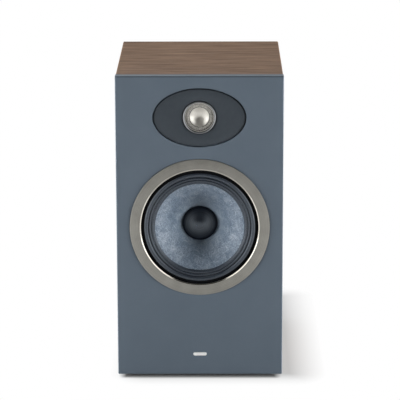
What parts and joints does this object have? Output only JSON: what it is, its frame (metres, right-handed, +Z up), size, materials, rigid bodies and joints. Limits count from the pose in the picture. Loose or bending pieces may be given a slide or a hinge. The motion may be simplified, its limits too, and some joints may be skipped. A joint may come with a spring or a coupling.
{
  "type": "bookshelf speaker",
  "caption": "Two-way bookshelf loudspeaker: wood-grain box, slate baffle, ring-trimmed woofer, inverted-dome tweeter in an oval plate, rear reflex port and binding posts.",
  "frame": {"origin": "on the floor, under the middle of the whole object's bounding box", "axes": "+Z up, +Y to the back, +X to the right seen from the front"},
  "size_m": [0.22, 0.2854, 0.4103],
  "materials": {
    "walnut_wrap": "satin wood-grain vinyl over fibreboard",
    "slate_wrap": "leather-grain vinyl over fibreboard",
    "back_board": "black textured vinyl over fibreboard",
    "raw_board": "bare fibreboard",
    "felt": "loose polyester felt",
    "foot_rubber": "matte rubber",
    "gasket_foam": "closed-cell foam",
    "champagne_metal": "circular brushed, anodised",
    "bright_metal": "polished",
    "mesh_metal": "perforated sheet",
    "anthracite_plastic": "fine satin moulding",
    "black_plastic": "moulded, fine grain",
    "cast_frame": "black painted casting",
    "surround_rubber": "satin rubber",
    "suspension_foam": "pressed foam",
    "slate_fibre": "mottled pressed fibre",
    "cap_black": "satin",
    "dome_metal": "bright drawn foil",
    "copper_wire": "enamelled wire",
    "spider_cloth": "resin-dipped cloth",
    "zinc_steel": "zinc plated",
    "screw_steel": "black oxide",
    "ferrite": "sintered, matte",
    "gold_brass": "gold flashed",
    "red_plastic": "moulded",
    "black_gloss": "moulded",
    "board_green": "solder-masked laminate",
    "film_cap": "wrapped film",
    "ceramic": "cast cement",
    "wire_jacket": "soft jacket"
  },
  "bodies": {
    "cabinet": {"top_panel": "walnut_wrap", "bottom_panel": "walnut_wrap", "left_panel": "walnut_wrap", "right_panel": "walnut_wrap", "front_baffle": "slate_wrap", "back_panel": "back_board", "shelf_brace": "raw_board", "side_wadding": "felt", "rubber_feet": "foot_rubber", "front_badge": "bright_metal", "woofer_trim_ring": "champagne_metal", "woofer_basket": "cast_frame", "woofer_gasket": "gasket_foam", "woofer_screws": "screw_steel", "woofer_surround": "surround_rubber", "woofer_spider": "spider_cloth", "woofer_top_plate": "zinc_steel", "woofer_magnet": "ferrite", "woofer_yoke": "zinc_steel", "woofer_tag_strip": "black_plastic", "woofer_tabs": "gold_brass", "tweeter_faceplate": "anthracite_plastic", "tweeter_bezel": "bright_metal", "tweeter_grille": "mesh_metal", "tweeter_chassis": "black_plastic", "tweeter_gasket": "gasket_foam", "tweeter_screws": "screw_steel", "tweeter_suspension": "suspension_foam", "tweeter_front_plate": "zinc_steel", "tweeter_magnet": "ferrite", "tweeter_yoke": "zinc_steel", "tweeter_rear_cup": "black_plastic", "tweeter_tabs": "gold_brass", "port_tube": "black_plastic", "terminal_plate": "black_plastic", "terminal_screws": "screw_steel", "red_post": "gold_brass", "black_post": "gold_brass", "post_nuts": "gold_brass", "crossover_board": "board_green", "board_standoffs": "black_plastic", "crossover_coils": "copper_wire", "film_capacitors": "film_cap", "power_resistors": "ceramic", "input_leads": "wire_jacket", "woofer_leads": "wire_jacket", "tweeter_leads": "wire_jacket"},
    "woofer_diaphragm": {"woofer_cone": "slate_fibre", "woofer_dust_cap": "cap_black", "woofer_coil_former": "dome_metal", "woofer_coil_winding": "copper_wire"},
    "tweeter_diaphragm": {"tweeter_dome": "dome_metal", "tweeter_coil_former": "dome_metal", "tweeter_coil_winding": "copper_wire"},
    "red_nut": {"red_cap_insert": "gold_brass"},
    "red_knob": {"red_cap": "red_plastic"},
    "black_nut": {"black_cap_insert": "gold_brass"},
    "black_knob": {"black_cap": "black_gloss"}
  },
  "joints": [
    {"name": "woofer_excursion", "type": "slide", "parent": "cabinet", "child": "woofer_diaphragm", "axis": [0, -1, 0], "range_m": [-0.004, 0.004], "stiffness_N_per_m": 1100, "deforming": ["woofer_surround", "woofer_spider"]},
    {"name": "tweeter_excursion", "type": "slide", "parent": "cabinet", "child": "tweeter_diaphragm", "axis": [0, -1, 0], "range_m": [-0.0003, 0.0003], "stiffness_N_per_m": 50, "deforming": ["tweeter_suspension"]},
    {"name": "red_nut_travel", "type": "slide", "parent": "cabinet", "child": "red_nut", "axis": [0, 1, 0], "range_m": [0, 0.00625]},
    {"name": "red_cap_turn", "type": "hinge", "parent": "red_nut", "child": "red_knob", "pos_m": [-0.016, 0.127, 0.1023], "axis": [0, 1, 0], "range_deg": [0, 1800]},
    {"name": "black_nut_travel", "type": "slide", "parent": "cabinet", "child": "black_nut", "axis": [0, 1, 0], "range_m": [0, 0.00625]},
    {"name": "black_cap_turn", "type": "hinge", "parent": "black_nut", "child": "black_knob", "pos_m": [0.016, 0.127, 0.1023], "axis": [0, 1, 0], "range_deg": [0, 1800]}
  ],
  "couplings": [
    {"joint": "red_cap_turn", "follows": "red_nut_travel", "rad_per_m": 5026.5},
    {"joint": "black_cap_turn", "follows": "black_nut_travel", "rad_per_m": 5026.5}
  ]
}
